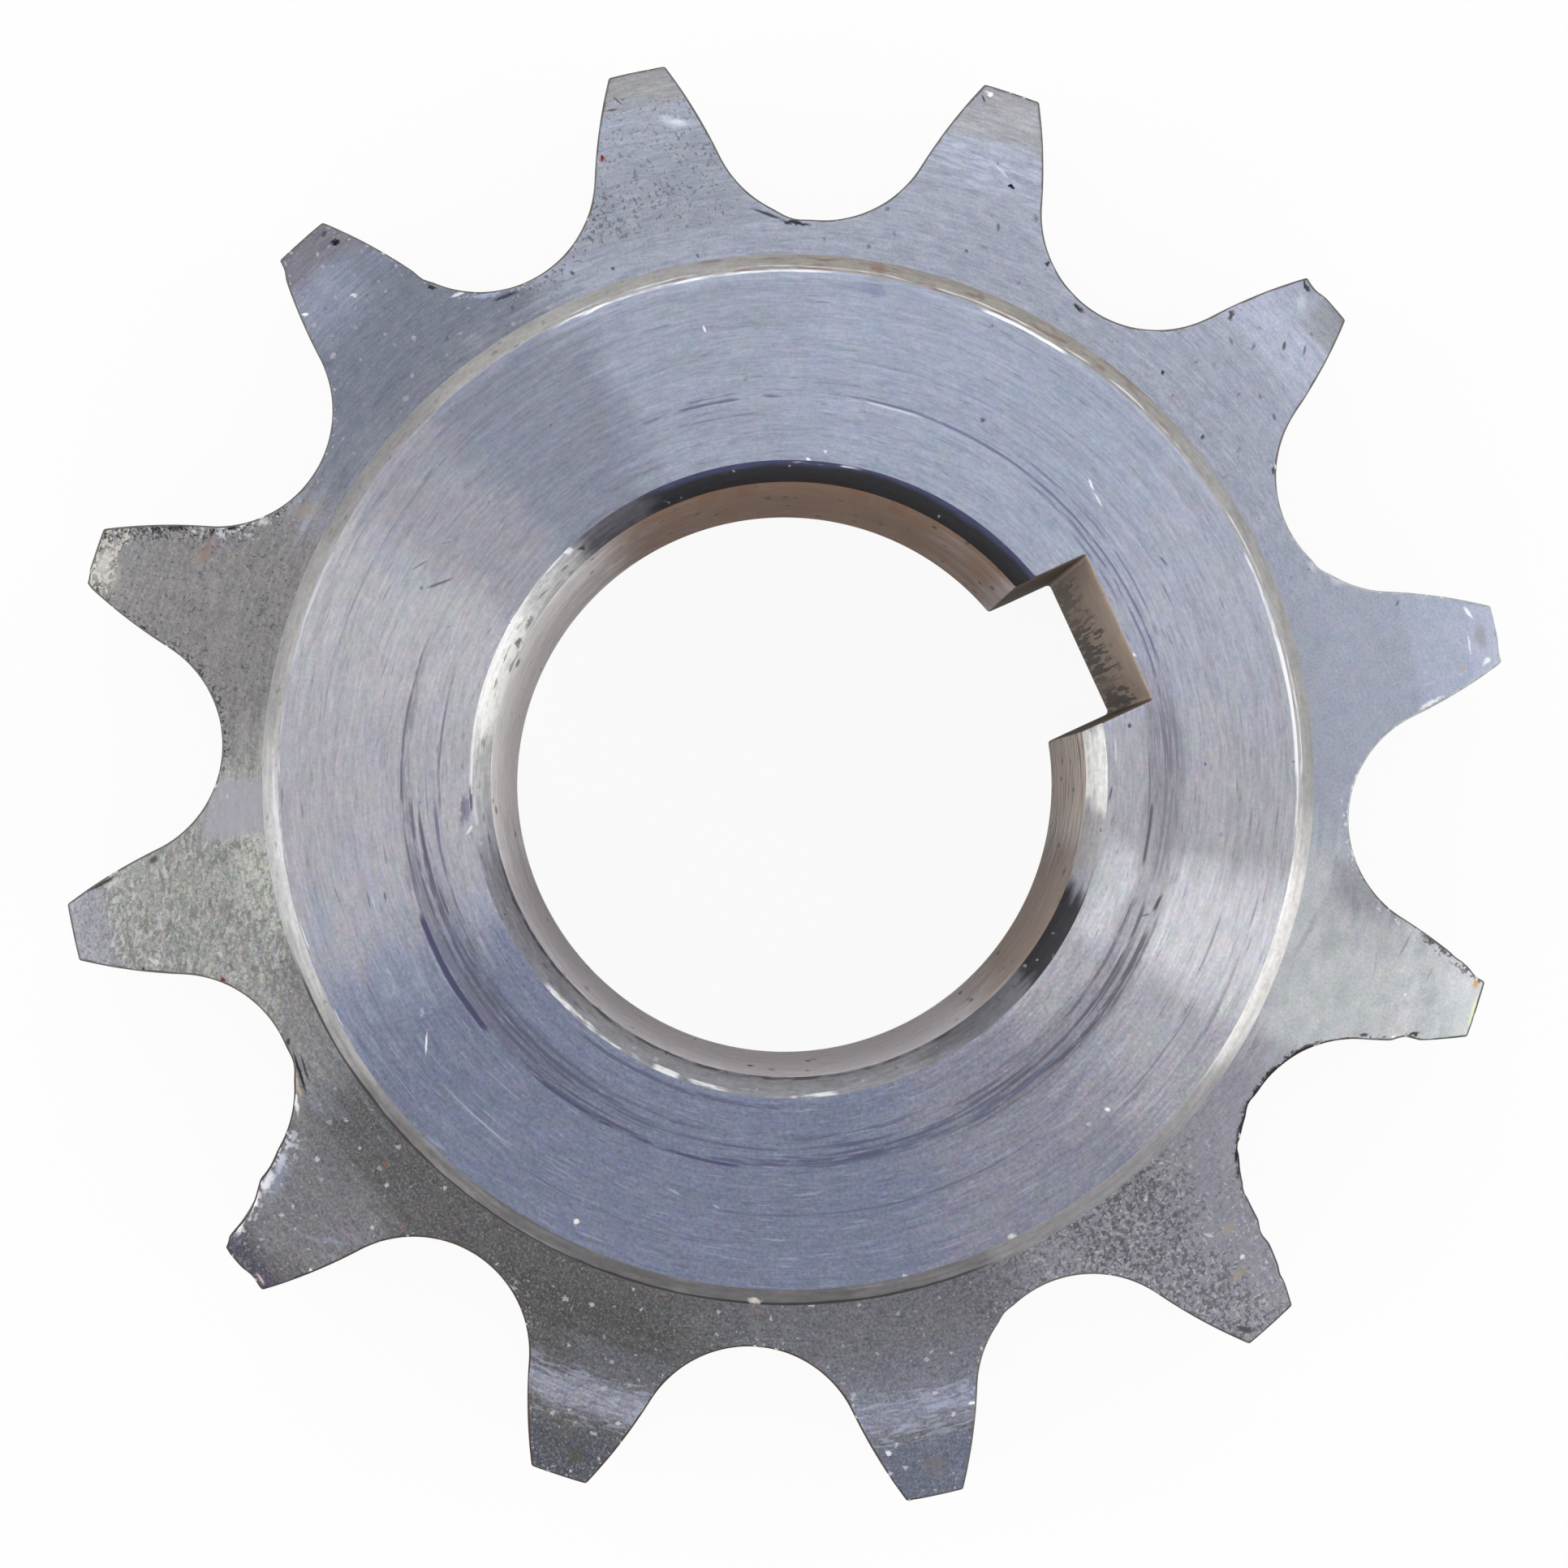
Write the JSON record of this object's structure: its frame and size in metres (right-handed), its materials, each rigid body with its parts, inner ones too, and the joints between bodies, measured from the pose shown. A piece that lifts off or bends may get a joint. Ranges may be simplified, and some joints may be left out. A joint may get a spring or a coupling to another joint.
{
  "type": "chain sprocket",
  "caption": "Worn bare-steel roller-chain sprocket for a single strand, with a hub on one side and a plain bore with a keyway.",
  "frame": {"origin": "centre of the bore at the flat back face of the toothed plate, on which the part lies", "axes": "+Z along the bore axis from the plate up to the hub face; +Y through the middle of the keyway"},
  "size_m": [0.0776, 0.0776, 0.03],
  "materials": {
    "steel": "bare machined steel, dulled by handling, with turning marks on the hub and a fine grain on the plate"
  },
  "bodies": {
    "root": {"sprocket": "steel"}
  },
  "joints": []
}
